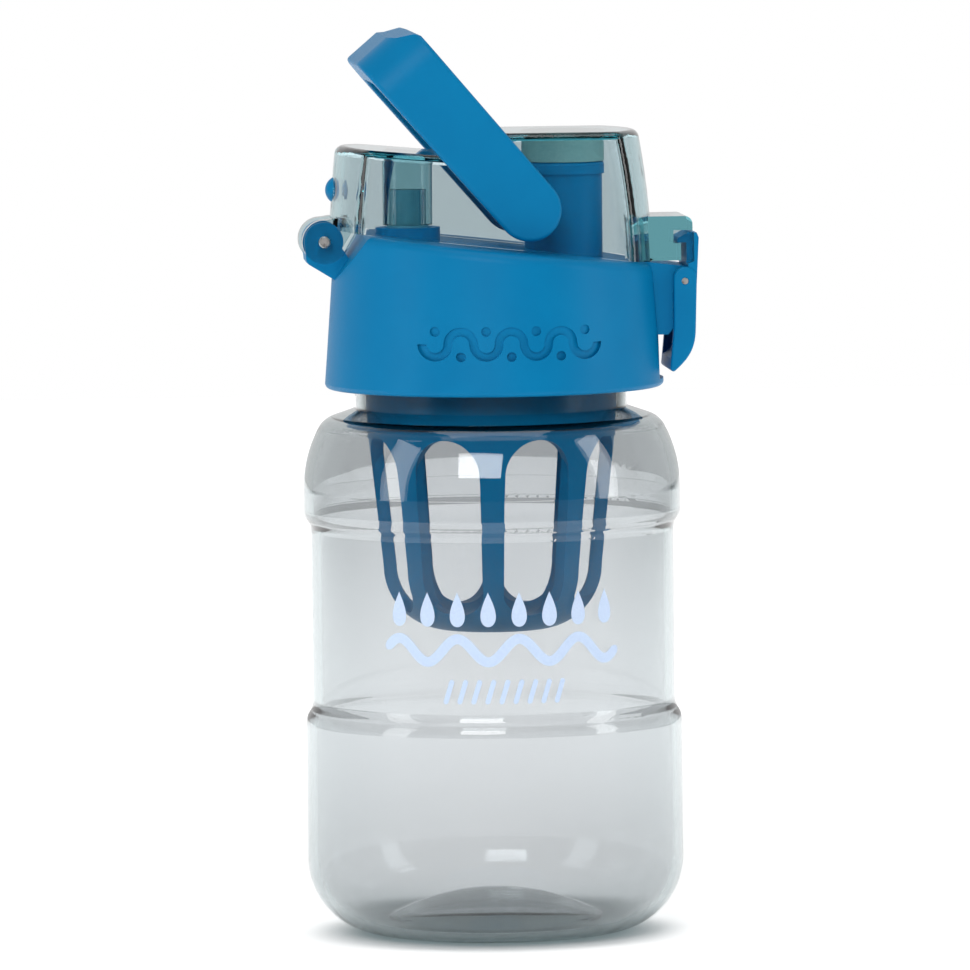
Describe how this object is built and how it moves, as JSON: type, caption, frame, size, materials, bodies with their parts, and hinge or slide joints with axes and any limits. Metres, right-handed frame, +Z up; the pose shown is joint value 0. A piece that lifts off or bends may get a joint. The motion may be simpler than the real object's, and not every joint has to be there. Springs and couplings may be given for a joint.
{
  "type": "drinking bottle",
  "caption": "Clear hard drinking bottle with a screw cap, see-through flip cover on a hinge, rocker latch, carry handle, spout and strainer basket.",
  "frame": {"origin": "centre of the base's contact ring, on the bottle's axis", "axes": "+Z up along the bottle's axis, -X to the cover's hinge, +X to the latch, -Y to the printed front"},
  "size_m": [0.0794, 0.076, 0.1818],
  "materials": {
    "clear_shell": "clear hard plastic, slightly grey, polished",
    "clear_cover": "clear teal-tinted hard plastic, polished",
    "blue_plastic": "fine matt moulded blue plastic",
    "silicone": "translucent grey-white silicone",
    "steel": "plain drawn steel"
  },
  "bodies": {
    "bottle": {"bottle_shell": "clear_shell"},
    "strainer": {"strainer_basket": "blue_plastic"},
    "cap": {"cap_collar": "blue_plastic", "cap_insert": "blue_plastic", "neck_seal": "silicone", "vent_valve": "silicone", "spout_gasket": "silicone", "spout": "blue_plastic", "hinge_pin": "steel", "hinge_spring": "steel", "latch_pin": "steel", "latch_spring": "steel"},
    "cover": {"cover_shell": "clear_cover", "spout_seal": "silicone", "vent_plug": "silicone", "cover_stop": "blue_plastic"},
    "handle": {"handle_loop": "blue_plastic", "handle_grip": "blue_plastic"},
    "latch": {"latch_lever": "blue_plastic"}
  },
  "joints": [
    {"name": "cap_lift", "type": "slide", "parent": "bottle", "child": "strainer", "axis": [0, 0, 1], "range_m": [0, 0.00605]},
    {"name": "cap_turn", "type": "hinge", "parent": "strainer", "child": "cap", "pos_m": [0, 0, 0.12], "axis": [0, 0, 1], "range_deg": [0, 540]},
    {"name": "cover_hinge", "type": "hinge", "parent": "cap", "child": "cover", "pos_m": [-0.0337, 0, 0.1399], "axis": [0, -1, 0], "range_deg": [0, 120]},
    {"name": "handle_pivot", "type": "hinge", "parent": "cover", "child": "handle", "pos_m": [0.0064, 0, 0.1465], "axis": [0, 1, 0], "range_deg": [-19.5, 125]},
    {"name": "latch_pivot", "type": "hinge", "parent": "cap", "child": "latch", "pos_m": [0.0385, 0, 0.1312], "axis": [0, 1, 0], "range_deg": [0, 6], "stiffness_Nm_per_rad": 0.02}
  ],
  "couplings": [
    {"joint": "cap_lift", "follows": "cap_turn", "m_per_rad": 0.00063662}
  ]
}
